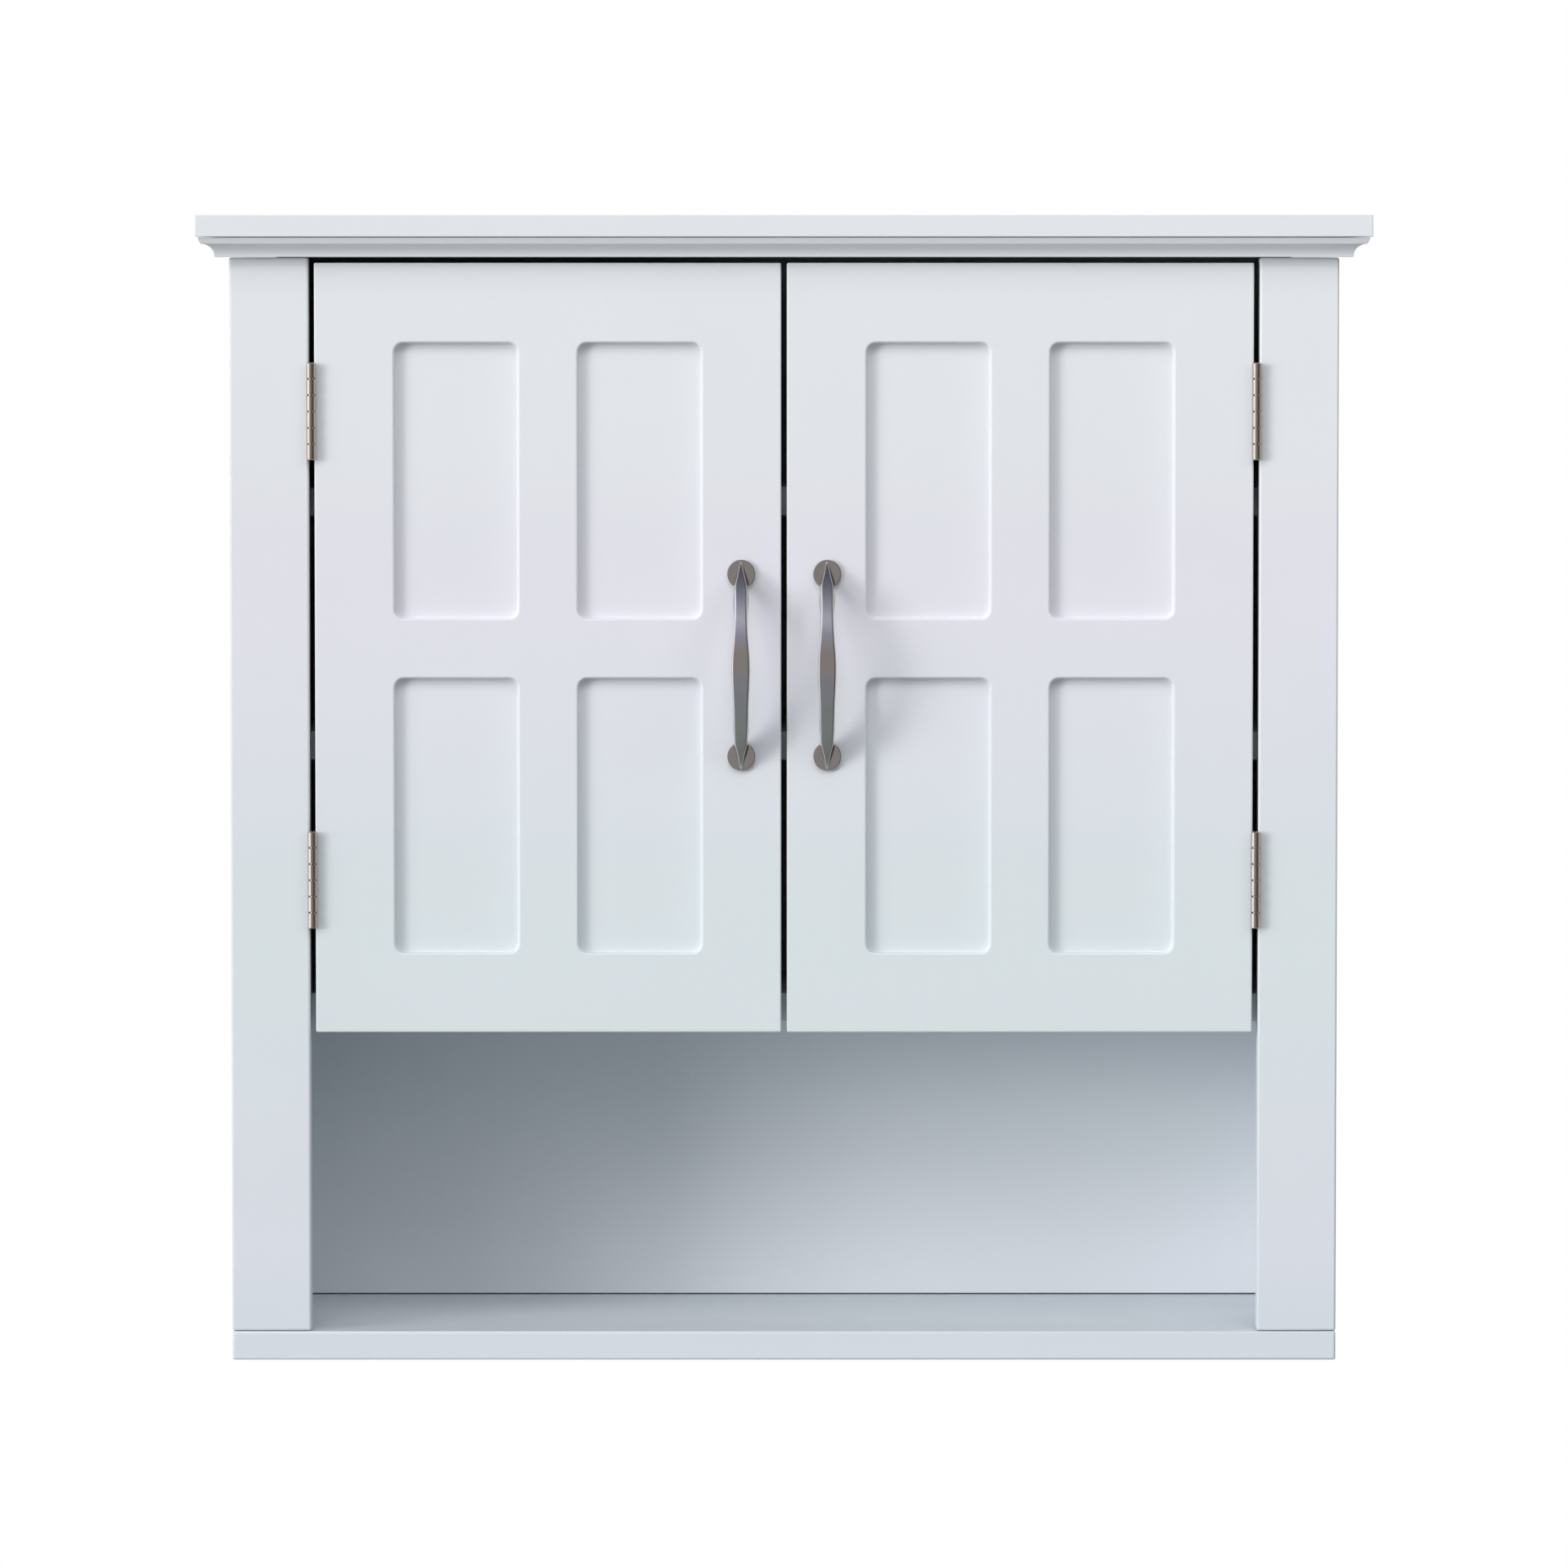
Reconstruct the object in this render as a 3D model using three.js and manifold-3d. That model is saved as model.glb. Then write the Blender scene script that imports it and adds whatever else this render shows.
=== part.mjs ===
// Hanging wall cabinet: a cupboard with two inset doors over an open bay, under a moulded top.
// Millimetres, +Z up, +X to the right of a person facing the doors, +Y into the wall.
// Every place below is measured in cabinet axes: X from the middle, Y from the wall (so the front
// is negative), Z from the underside of the bottom board. The last lines move the whole cabinet
// so that the origin is the middle of the hanging rail's back, where it bears on the wall.

import * as THREE from "three";
import { mergeVertices } from "three/addons/utils/BufferGeometryUtils.js";
import Module from "manifold-3d";

const wasm = await Module();
wasm.setup();

// ---- driving dimensions ----

const SEAM = 0.3;              // left between pieces that touch
const BODY_W = 577;            // over the side panels
const BODY_D = 186;            // wall to the face of the doors
const BOARD = 15;              // thickness of carcass boards, stiles and doors
const EASE = 1.2;              // eased edge of the painted boards
const INNER_EASE = 0.6;        // eased edge of the floor and the shelves inside
const HALF_W = BODY_W / 2;
const FRONT = -BODY_D;

const CROWN_BASE = 576;        // underside of the moulding
const CROWN_H = 10.2;
const TOP_T = 11.6;
const TOP_OVERHANG = 16.5;     // past the sides and the doors
const TOP_EASE = 0.5;
const TOP_BASE = CROWN_BASE + CROWN_H;

const STILE_W = 41.25;
const DOOR_GAP = 3;            // beside each door and between the two
const DOOR_BASE = 172;
const DOOR_TOP = 573;
const DOOR_H = DOOR_TOP - DOOR_BASE;
const OPENING_HALF = HALF_W - STILE_W;
const DOOR_INNER = DOOR_GAP / 2;
const DOOR_OUTER = OPENING_HALF - DOOR_GAP;
const DOOR_W = DOOR_OUTER - DOOR_INNER;

const PANEL_MARGIN = 40.9;     // door edge to sunk panel
const PANEL_BAR = 30;          // between sunk panels
const PANEL_DEPTH = 5;
const PANEL_CORNER = 5.4;
const DOOR_EASE = 0.8;

const FLOOR_BASE = 176;        // cabinet floor, under the doors' compartment
const FLOOR_SETBACK = 17;
const SHELF_SETBACK = 24;
const SHELF_END_GAP = 2.1;     // loose shelf end to side panel
const SHELF_BACK_GAP = 0.8;    // loose shelf to back panel
const HOLE_PITCH = 32;
const HOLE_FIRST = 278.2;
const HOLE_COUNT = 7;
const HOLE_INSET = 32;         // hole rows from the stile's back and from the back panel
const HOLE_R = 2.7;
const HOLE_DEPTH = 9;
const LOWER_SHELF_HOLE = 1;    // index of the hole that carries each shelf
const UPPER_SHELF_HOLE = 5;

const BACK_T = 3;
const BACK_FRONT = -18;        // front face of the back panel
const GROOVE_DEPTH = 5;
const RAIL_T = 14.7;
const RAIL_H = 63.6;
const LOWER_RAIL_H = 35;

const HINGE_Z = { upper: 495.9, lower: 251.8 };
const HINGE_H = 50.8;          // 2 inch butt hinge
const KNUCKLES = 6;
const BARREL_R = 2.5;
const PIN_R = 1.2;
const BORE_R = 1.3;
const LEAF_T = 1;
const HINGE_X = OPENING_HALF - DOOR_GAP / 2;
const HINGE_Y = FRONT - BARREL_R;

const HANDLE_X = 22.4;         // pull's centre line from the cabinet's middle
const HANDLE_Z = 363.8;
const HANDLE_CC = 95;          // foot to foot, 3 3/4 inch
const FOOT_R = 7.5;
const FOOT_T = 1.9;
const SCREW_R = 1.9;           // machine screw through the door into the pull
const SCREW_HOLE_R = 2.4;
const BORE_DEPTH = 6;          // how far the screw's hole goes into the pull

const HANGER_SPACING = 406.4;  // 16 inch, the usual wall-stud spacing
const HANGER_W = 20;
const HANGER_H = 50;
const HANGER_T = 1.6;
const HANGER_SCREW_Z = 19;     // screws above and below the plate's middle
const KEYHOLE_HEAD_R = 4.8;
const KEYHOLE_HEAD_Z = -5;
const KEYHOLE_SLOT_R = 2.3;
const KEYHOLE_SLOT_Z = 8;
const WELL_HALF_W = 6;         // space behind the plate for the wall screw's head
const WELL_HALF_H = 11;
const WELL_DEPTH = 9;

const CATCH_X = 62;
const CATCH_W = 40;
const CATCH_D = 14;
const CATCH_H = 12;
const BUMPER_XS = [30, 205];

// ---- materials ----

function finish(color, roughness, metalness) {
  return () => new THREE.MeshStandardMaterial({ color, roughness, metalness });
}

const whitePaint = finish(0xe1e5e8, 0.42, 0);
const whiteHardboard = finish(0xdde1e5, 0.5, 0);
const satinNickel = finish(0x8f8e8c, 0.32, 1);
const zincSteel = finish(0xa9adb0, 0.4, 1);
const whitePlastic = finish(0xe9e9e6, 0.45, 0);
const ferrite = finish(0x3a3b3d, 0.6, 0.3);
const clearRubber = finish(0xc9ced1, 0.3, 0);

// ---- solids: joining and cutting ----

function toSolid(geometry) {
  const bare = geometry.clone();
  bare.deleteAttribute("normal");
  bare.deleteAttribute("uv");
  const merged = mergeVertices(bare.index ? bare.toNonIndexed() : bare, 1e-5);
  return new wasm.Manifold(new wasm.Mesh({
    numProp: 3,
    vertProperties: new Float32Array(merged.attributes.position.array),
    triVerts: new Uint32Array(merged.index.array),
  }));
}

function toGeometry(solid) {
  const mesh = solid.getMesh();
  const geometry = new THREE.BufferGeometry();
  geometry.setAttribute("position", new THREE.BufferAttribute(new Float32Array(mesh.vertProperties), 3));
  geometry.setIndex(new THREE.BufferAttribute(new Uint32Array(mesh.triVerts), 1));
  geometry.computeVertexNormals();
  return geometry;
}

function cut(geometry, tools) {
  return toGeometry(tools.reduce((solid, tool) => solid.subtract(toSolid(tool)), toSolid(geometry)));
}

function join(geometries) {
  return toGeometry(geometries.map(toSolid).reduce((sum, solid) => sum.add(solid)));
}

// ---- solids: simple forms, each placed in cabinet axes ----

/** A plain box between two corners. */
function block(low, high) {
  const size = high.map((value, i) => value - low[i]);
  const middle = high.map((value, i) => (value + low[i]) / 2);
  return new THREE.BoxGeometry(...size).translate(...middle);
}

/** A board between two corners with all its edges chamfered, lying in the X-Z plane. */
function easedBoard(low, high, ease = EASE) {
  const [width, depth, height] = high.map((value, i) => value - low[i]);
  const outline = new THREE.Shape([
    new THREE.Vector2(0, 0), new THREE.Vector2(width, 0),
    new THREE.Vector2(width, height), new THREE.Vector2(0, height),
  ]);
  const chamfer = {
    bevelEnabled: true, bevelSegments: 1, bevelSize: ease, bevelThickness: ease, bevelOffset: -ease,
  };
  return new THREE.ExtrudeGeometry(outline, { depth: depth - 2 * ease, ...chamfer })
    .translate(0, 0, ease)
    .rotateX(Math.PI / 2)
    .translate(low[0], high[1], low[2]);
}

/** A rounded rectangle in the X-Z plane, running from yFront back to yBack. */
function roundedPocket(x0, x1, z0, z1, radius, yFront, yBack) {
  const shape = new THREE.Shape();
  shape.moveTo(x0 + radius, z0);
  shape.lineTo(x1 - radius, z0);
  shape.absarc(x1 - radius, z0 + radius, radius, -Math.PI / 2, 0);
  shape.lineTo(x1, z1 - radius);
  shape.absarc(x1 - radius, z1 - radius, radius, 0, Math.PI / 2);
  shape.lineTo(x0 + radius, z1);
  shape.absarc(x0 + radius, z1 - radius, radius, Math.PI / 2, Math.PI);
  shape.lineTo(x0, z0 + radius);
  shape.absarc(x0 + radius, z0 + radius, radius, Math.PI, 1.5 * Math.PI);
  return new THREE.ExtrudeGeometry(shape, { depth: yBack - yFront, bevelEnabled: false, curveSegments: 4 })
    .rotateX(Math.PI / 2)
    .translate(0, yBack, 0);
}

/** A turned piece: profile points are [radius, distance along the axis], from end to end. */
function turned(profile, segments) {
  return new THREE.LatheGeometry(profile.map(([r, t]) => new THREE.Vector2(r, t)), segments);
}

/** Turned pieces point along +Y; this one lays the axis along X, pointing to the given side. */
function alongX(geometry, side) {
  return geometry.rotateZ(-side * Math.PI / 2);
}

/** Stands a turned piece's axis upright. */
function upright(geometry) {
  return geometry.rotateX(Math.PI / 2);
}

function rod(radius, length, segments) {
  return turned([[0, 0], [radius, 0], [radius, length], [0, length]], segments);
}

// ---- the cabinet and its pieces ----

const cabinet = new THREE.Group();

function add(name, geometry, material) {
  const mesh = new THREE.Mesh(geometry, material());
  mesh.name = name;
  cabinet.add(mesh);
}

/** Runs a maker for the left (-1) and the right (+1). */
function bothSides(make) {
  make("left", -1);
  make("right", 1);
}

/** Orders two X values, so that a span can be given from the middle outwards on either side. */
function span(side, inner, outer) {
  return side > 0 ? [inner, outer] : [-outer, -inner];
}

// Top board: overhangs the front and both sides, flush with the wall at the back.
const topHalf = HALF_W + TOP_OVERHANG;
const topFront = FRONT - TOP_OVERHANG;
add("top_board",
  easedBoard([-topHalf, topFront, TOP_BASE + SEAM], [topHalf, 0, TOP_BASE + TOP_T], TOP_EASE),
  whitePaint);

// Crown moulding: a flat strip whose outer edge is a fillet over a cove. Its profile is drawn
// outwards from the body's face, and downwards from the top board.
const STRIP_INNER = -BOARD;
const FILLET_OUT = 14.6;
const FILLET_H = 3;
const COVE_OUT = 13.8;
const COVE_START = 3.9;
const COVE_FOOT_OUT = 7.2;
const COVE_FOOT = 8.5;

function crownProfile() {
  const profile = new THREE.Shape();
  profile.moveTo(STRIP_INNER, 0);
  profile.lineTo(STRIP_INNER, -CROWN_H);
  profile.lineTo(COVE_FOOT_OUT, -CROWN_H);
  profile.lineTo(COVE_FOOT_OUT, -COVE_FOOT);
  profile.quadraticCurveTo(COVE_FOOT_OUT + 0.4, -COVE_START, COVE_OUT, -COVE_START);
  profile.lineTo(FILLET_OUT, -FILLET_H);
  profile.lineTo(FILLET_OUT, 0);
  return profile;
}

/** A straight run of moulding along +X, its outer edge towards -Y. */
function crownRun(length) {
  return new THREE.ExtrudeGeometry(crownProfile(), { depth: length, bevelEnabled: false, curveSegments: 6 })
    .rotateX(Math.PI / 2)
    .rotateZ(-Math.PI / 2)
    .translate(length, 0, 0);
}

/** The half space on one side of the 45 degree mitre through a front corner of the body. */
function mitreTool(side, keepFront) {
  const reach = 400;
  const away = keepFront ? 1 : -1;
  return new THREE.BoxGeometry(reach, reach, 40)
    .translate(0, away * (reach - SEAM) / 2, 0)
    .rotateZ(side > 0 ? -Math.PI / 4 : Math.PI / 4)
    .translate(side * HALF_W, FRONT, TOP_BASE - CROWN_H / 2);
}

const runHalf = HALF_W + 30;
const frontRun = crownRun(2 * runHalf).translate(-runHalf, FRONT, TOP_BASE);
add("crown_front", cut(frontRun, [mitreTool(-1, true), mitreTool(1, true)]), whitePaint);
bothSides((word, side) => {
  const sideRun = crownRun(BODY_D + 30)
    .rotateZ(side * Math.PI / 2)
    .translate(side * HALF_W, side > 0 ? FRONT - 30 : 0, TOP_BASE);
  add(`crown_${word}`, cut(sideRun, [mitreTool(side, false)]), whitePaint);
});

// Bottom board: the full width of the body, from the face of the doors to the wall.
add("bottom_board", easedBoard([-HALF_W, FRONT, 0], [HALF_W, 0, BOARD]), whitePaint);

// Stiles: the two uprights of the face frame.
bothSides((word, side) => {
  const [x0, x1] = span(side, OPENING_HALF, HALF_W);
  const low = [x0, FRONT, BOARD + SEAM];
  const high = [x1, FRONT + BOARD - SEAM, CROWN_BASE - SEAM];
  add(`stile_${word}`, easedBoard(low, high), whitePaint);
});

// Side panels: behind the stiles, with a groove for the back panel and blind holes for the pins.
const holeRowsY = [FRONT + BOARD + HOLE_INSET, BACK_FRONT - HOLE_INSET];
const panelInner = HALF_W - BOARD;
bothSides((word, side) => {
  const [x0, x1] = span(side, panelInner, HALF_W);
  const board = block([x0, FRONT + BOARD, BOARD + SEAM], [x1, 0, CROWN_BASE - SEAM]);
  const [g0, g1] = span(side, panelInner - 1, panelInner + GROOVE_DEPTH);
  const groove = block([g0, BACK_FRONT - SEAM, 0], [g1, BACK_FRONT + BACK_T + SEAM, CROWN_BASE + 1]);
  const holes = [];
  for (const y of holeRowsY) {
    for (let i = 0; i < HOLE_COUNT; i++) {
      holes.push(alongX(rod(HOLE_R, HOLE_DEPTH + 1, 10), side)
        .translate(side * (panelInner - 1), y, HOLE_FIRST + i * HOLE_PITCH));
    }
  }
  add(`side_panel_${word}`, cut(board, [groove, ...holes]), whitePaint);
});

// Back panel in the grooves, with a rail behind it at the top and at the bottom.
const backHalf = panelInner + GROOVE_DEPTH - SEAM;
add("back_panel",
  block([-backHalf, BACK_FRONT, BOARD + SEAM], [backHalf, BACK_FRONT + BACK_T, CROWN_BASE - SEAM]),
  whiteHardboard);

const railHalf = panelInner - SEAM;
const railBase = TOP_BASE - RAIL_H;
const hangerZ = railBase + RAIL_H / 2;
const seatDepth = HANGER_T + SEAM;
const hangerScrewZs = [hangerZ - HANGER_SCREW_Z, hangerZ + HANGER_SCREW_Z];

/** Pocket for one keyhole plate: a shallow seat, a deep well for the wall screw, two pilot holes. */
function hangerCuts(x) {
  const seat = block([x - HANGER_W / 2 - SEAM, -seatDepth, hangerZ - HANGER_H / 2 - SEAM],
    [x + HANGER_W / 2 + SEAM, 1, hangerZ + HANGER_H / 2 + SEAM]);
  const well = block([x - WELL_HALF_W, -WELL_DEPTH, hangerZ - WELL_HALF_H],
    [x + WELL_HALF_W, 0, hangerZ + WELL_HALF_H]);
  const pilots = hangerScrewZs.map((z) => rod(1.6, 12, 10).translate(x, -12, z));
  return [seat, well, ...pilots];
}

const hangerXs = [-HANGER_SPACING / 2, HANGER_SPACING / 2];
add("hanging_rail",
  cut(block([-railHalf, -RAIL_T, railBase], [railHalf, 0, TOP_BASE]), hangerXs.flatMap(hangerCuts)),
  whitePaint);
add("lower_rail",
  block([-railHalf, -RAIL_T, BOARD + SEAM], [railHalf, 0, BOARD + LOWER_RAIL_H]),
  whitePaint);

// Keyhole plates: the wall screw's head goes in at the round end and the plate drops onto it.
function hangerPlate(x) {
  const outline = new THREE.Shape();
  outline.moveTo(-HANGER_W / 2, -HANGER_H / 2);
  outline.lineTo(HANGER_W / 2, -HANGER_H / 2);
  outline.lineTo(HANGER_W / 2, HANGER_H / 2);
  outline.lineTo(-HANGER_W / 2, HANGER_H / 2);
  const keyhole = new THREE.Path();
  const neck = Math.asin(KEYHOLE_SLOT_R / KEYHOLE_HEAD_R);
  keyhole.absarc(0, KEYHOLE_HEAD_Z, KEYHOLE_HEAD_R, Math.PI / 2 + neck, Math.PI / 2 - neck + 2 * Math.PI);
  keyhole.absarc(0, KEYHOLE_SLOT_Z, KEYHOLE_SLOT_R, 0, Math.PI);
  outline.holes.push(keyhole);
  const plate = new THREE.ExtrudeGeometry(outline, { depth: HANGER_T, bevelEnabled: false, curveSegments: 8 })
    .rotateX(Math.PI / 2)
    .translate(x, 0, hangerZ);
  const sink = [[0, -3], [1.9, -3], [1.9, -HANGER_T], [3.6, 0], [3.6, 1], [0, 1]];
  return cut(plate, hangerScrewZs.map((z) => turned(sink, 12).translate(x, 0, z)));
}

/** Countersunk screw with its flat head flush with the wall face, pointing to -Y. */
function hangerScrew(x, z) {
  const profile = [[0, -10.5], [0.6, -10.5], [1.4, -8.5], [1.4, -HANGER_T], [3.1, -0.15], [3.1, 0], [0, 0]];
  return turned(profile, 12).translate(x, 0, z);
}

bothSides((word, side) => {
  const x = side * HANGER_SPACING / 2;
  add(`hanger_plate_${word}`, hangerPlate(x), zincSteel);
  ["lower", "upper"].forEach((level, i) => {
    add(`hanger_screw_${word}_${level}`, hangerScrew(x, hangerScrewZs[i]), zincSteel);
  });
});

// Cabinet floor, fixed between the side panels.
const innerHalf = panelInner - SEAM;
const floorLow = [-innerHalf, FRONT + FLOOR_SETBACK, FLOOR_BASE];
const floorHigh = [innerHalf, BACK_FRONT - SEAM, FLOOR_BASE + BOARD];
add("cabinet_floor", easedBoard(floorLow, floorHigh, INNER_EASE), whitePaint);

// Loose shelves on four pins each. A pin has its collar against the side panel.
const PIN_NOSE_R = 2.4;
const PIN_COLLAR_R = 4;
const PIN_COLLAR_T = 1.5;
const PIN_IN = 7.5;            // into the side panel
const PIN_OUT = 9;             // under the shelf

function shelfPin() {
  const profile = [
    [0, -PIN_IN], [PIN_NOSE_R, -PIN_IN], [PIN_NOSE_R, SEAM], [PIN_COLLAR_R, SEAM],
    [PIN_COLLAR_R, PIN_COLLAR_T], [PIN_NOSE_R, PIN_COLLAR_T], [PIN_NOSE_R, PIN_OUT], [0, PIN_OUT],
  ];
  return turned(profile, 10);
}

const shelves = { lower: LOWER_SHELF_HOLE, upper: UPPER_SHELF_HOLE };
for (const [level, hole] of Object.entries(shelves)) {
  const pinZ = HOLE_FIRST + hole * HOLE_PITCH;
  const base = pinZ + PIN_NOSE_R + SEAM;
  const half = panelInner - SHELF_END_GAP;
  const low = [-half, FRONT + SHELF_SETBACK, base];
  const high = [half, BACK_FRONT - SHELF_BACK_GAP, base + BOARD];
  add(`shelf_${level}`, easedBoard(low, high, INNER_EASE), whitePaint);
  bothSides((word, side) => {
    ["front", "back"].forEach((row, i) => {
      add(`shelf_pin_${level}_${word}_${row}`,
        alongX(shelfPin(), -side).translate(side * panelInner, holeRowsY[i], pinZ),
        zincSteel);
    });
  });
}

// Magnetic catches on the cabinet floor, close behind the doors: a case with a magnet in its mouth.
const MAGNET_W = 28;
const MAGNET_H = 7.4;
const MAGNET_D = 8;
const MAGNET_PROUD = 0.2;
const CASE_EASE = 0.8;
const STRIKE_HALF_W = 17;
const STRIKE_T = 1.2;
const STRIKE_EASE = 0.4;
const doorBack = FRONT + BOARD;
const catchFront = doorBack + SEAM + STRIKE_T + MAGNET_PROUD + 0.4;
const catchBase = FLOOR_BASE + BOARD + SEAM;
const magnetBase = catchBase + (CATCH_H - MAGNET_H) / 2;
bothSides((word, side) => {
  const x = side * CATCH_X;
  const shell = easedBoard([x - CATCH_W / 2, catchFront, catchBase],
    [x + CATCH_W / 2, catchFront + CATCH_D, catchBase + CATCH_H], CASE_EASE);
  const mouth = block([x - MAGNET_W / 2 - SEAM, catchFront - 1, magnetBase - SEAM],
    [x + MAGNET_W / 2 + SEAM, catchFront + MAGNET_D + SEAM, magnetBase + MAGNET_H + SEAM]);
  add(`catch_case_${word}`, cut(shell, [mouth]), whitePlastic);
  add(`catch_magnet_${word}`,
    block([x - MAGNET_W / 2, catchFront - MAGNET_PROUD, magnetBase],
      [x + MAGNET_W / 2, catchFront + MAGNET_D, magnetBase + MAGNET_H]),
    ferrite);
  add(`strike_plate_${word}`,
    easedBoard([x - STRIKE_HALF_W, doorBack + SEAM, catchBase + 0.5],
      [x + STRIKE_HALF_W, doorBack + SEAM + STRIKE_T, catchBase + CATCH_H - 0.5], STRIKE_EASE),
    zincSteel);
});

// Doors: inset boards, each with two by two sunk panels and two holes for the pull's screws.
const footZs = [HANDLE_Z - HANDLE_CC / 2, HANDLE_Z + HANDLE_CC / 2];
const panelW = (DOOR_W - 2 * PANEL_MARGIN - PANEL_BAR) / 2;
const panelH = (DOOR_H - 2 * PANEL_MARGIN - PANEL_BAR) / 2;

function doorSolid(side) {
  const [x0, x1] = span(side, DOOR_INNER, DOOR_OUTER);
  const board = easedBoard([x0, FRONT, DOOR_BASE], [x1, FRONT + BOARD, DOOR_TOP], DOOR_EASE);
  const cuts = [];
  for (const column of [0, 1]) {
    for (const row of [0, 1]) {
      const px = x0 + PANEL_MARGIN + column * (panelW + PANEL_BAR);
      const pz = DOOR_BASE + PANEL_MARGIN + row * (panelH + PANEL_BAR);
      cuts.push(
        roundedPocket(px, px + panelW, pz, pz + panelH, PANEL_CORNER, FRONT - 1, FRONT + PANEL_DEPTH),
      );
    }
  }
  for (const z of footZs) {
    cuts.push(rod(SCREW_HOLE_R, BOARD + 2, 10).translate(side * HANDLE_X, FRONT - 1, z));
  }
  return cut(board, cuts);
}

// Arch pull. The bow is a loft of four-cornered sections between a front and a back curve. Both
// curves start on a foot, and the sections change from lying on the foot to standing upright at
// the middle. The front face is narrow, comes to a point on each foot, and is widest a little
// below the middle.
const BOW_OUT = 28;            // door face to the front of the bow
const BOW_T = 5.2;             // thickness at the middle
const BOW_STEPS = 20;
const TIP_REACH = HANDLE_CC / 2 + 7;
const HEEL_REACH = HANDLE_CC / 2 - 5.6;
const BOW_ROUNDNESS = 0.85;    // 1 is a sine arch, smaller is squarer
const BACK_FLARE = 3.6;        // extra half width of the back where it lands on a foot

// Half width of the bow's front face, by height from -1 (lower tip) to 1 (upper tip).
const faceHeights = [-1, -0.86, -0.74, -0.38, -0.06, 0.12, 0.3, 0.45, 0.6, 0.77, 0.87, 1];
const faceHalfWidths = [0.4, 1.7, 3.1, 3.8, 4.5, 4.3, 3.5, 3.1, 2.95, 2.95, 1.8, 0.4];
const faceWidth = new THREE.CubicInterpolant(faceHeights, faceHalfWidths, 1);

function bowSection(u) {
  const arch = Math.pow(Math.cos(u * Math.PI / 2), BOW_ROUNDNESS);
  const front = { z: u * TIP_REACH, out: FOOT_T + (BOW_OUT - FOOT_T) * arch };
  const back = { z: u * HEEL_REACH, out: FOOT_T + (BOW_OUT - BOW_T - FOOT_T) * arch };
  const half = faceWidth.evaluate(u)[0];
  const backHalf = half + 0.6 + BACK_FLARE * Math.pow(Math.abs(u), 5);
  return [[-half, front], [half, front], [backHalf, back], [-backHalf, back]]
    .map(([x, point]) => [x, -point.out, point.z]);
}

function bow() {
  const points = [];
  const faces = [];
  for (let i = 0; i <= BOW_STEPS; i++) {
    const u = Math.sin((i / BOW_STEPS - 0.5) * Math.PI);
    points.push(...bowSection(u));
  }
  for (let i = 0; i < BOW_STEPS; i++) {
    for (let j = 0; j < 4; j++) {
      const a = 4 * i + j;
      const b = 4 * i + (j + 1) % 4;
      faces.push(a, b, b + 4, a, b + 4, a + 4);
    }
  }
  const last = 4 * BOW_STEPS;
  faces.push(0, 2, 1, 0, 3, 2, last, last + 1, last + 2, last, last + 2, last + 3);
  const geometry = new THREE.BufferGeometry();
  geometry.setAttribute("position", new THREE.Float32BufferAttribute(points.flat(), 3));
  geometry.setIndex(faces);
  return geometry;
}

/** Round foot, its flat side on the door. */
function pullFoot(z) {
  const face = FOOT_T + 0.4;
  return turned([[0, SEAM], [FOOT_R, SEAM], [FOOT_R, FOOT_T], [FOOT_R - 0.5, face], [0, face]], 24)
    .rotateX(Math.PI)
    .translate(0, 0, z);
}

function handleSolid(side) {
  const ends = [-HANDLE_CC / 2, HANDLE_CC / 2];
  const body = join([bow(), ...ends.map(pullFoot)]);
  const bores = ends.map((z) => rod(SCREW_HOLE_R, BORE_DEPTH + 1, 10).translate(0, -BORE_DEPTH, z));
  return cut(body, bores).translate(side * HANDLE_X, FRONT, HANDLE_Z);
}

/** Pan-head machine screw from the back of the door, pointing to -Y. */
function handleScrew(side, z) {
  const seat = doorBack + SEAM;
  const tip = FRONT - BORE_DEPTH + 0.5;
  const headR = 3.9;
  const headTop = seat + 2;
  const profile = [
    [0, tip], [SCREW_R, tip], [SCREW_R, seat], [headR, seat], [headR, seat + 1.2],
    [headR - 1, headTop], [0, headTop],
  ];
  return turned(profile, 12).translate(side * HANDLE_X, 0, z);
}

bothSides((word, side) => {
  add(`door_${word}`, doorSolid(side), whitePaint);
  add(`handle_${word}`, handleSolid(side), satinNickel);
  ["lower", "upper"].forEach((level, i) => {
    add(`handle_screw_${word}_${level}`, handleScrew(side, footZs[i]), zincSteel);
  });
  ["inner", "outer"].forEach((place, i) => {
    const dome = turned([[0, 0], [4, 0], [3.7, 0.8], [2.4, 1.4], [0, 1.4]], 14);
    add(`bumper_${word}_${place}`,
      dome.translate(side * BUMPER_XS[i], doorBack + SEAM, FLOOR_BASE + BOARD / 2),
      clearRubber);
  });
});

// Butt hinges: two leaves in the gap between stile and door, their knuckles interleaved on one pin
// that stands just proud of the doors.
const KNUCKLE_H = HINGE_H / KNUCKLES;
const LEAF_BACK = HINGE_Y + 16.5;
const LEAF_FRONT = HINGE_Y + BARREL_R + 0.4;
const TAB_FRONT = HINGE_Y + BORE_R + 0.15;
const LEAF_OFFSET = 0.25;      // leaf's inner face from the pin's axis plane

/** One knuckle: a tube around the axis, made from a closed ring profile. */
function knuckle(z0, z1) {
  const height = z1 - z0;
  const ring = [[BORE_R, 0], [BARREL_R, 0], [BARREL_R, height], [BORE_R, height], [BORE_R, 0]];
  return upright(turned(ring, 14)).translate(0, 0, z0);
}

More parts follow.
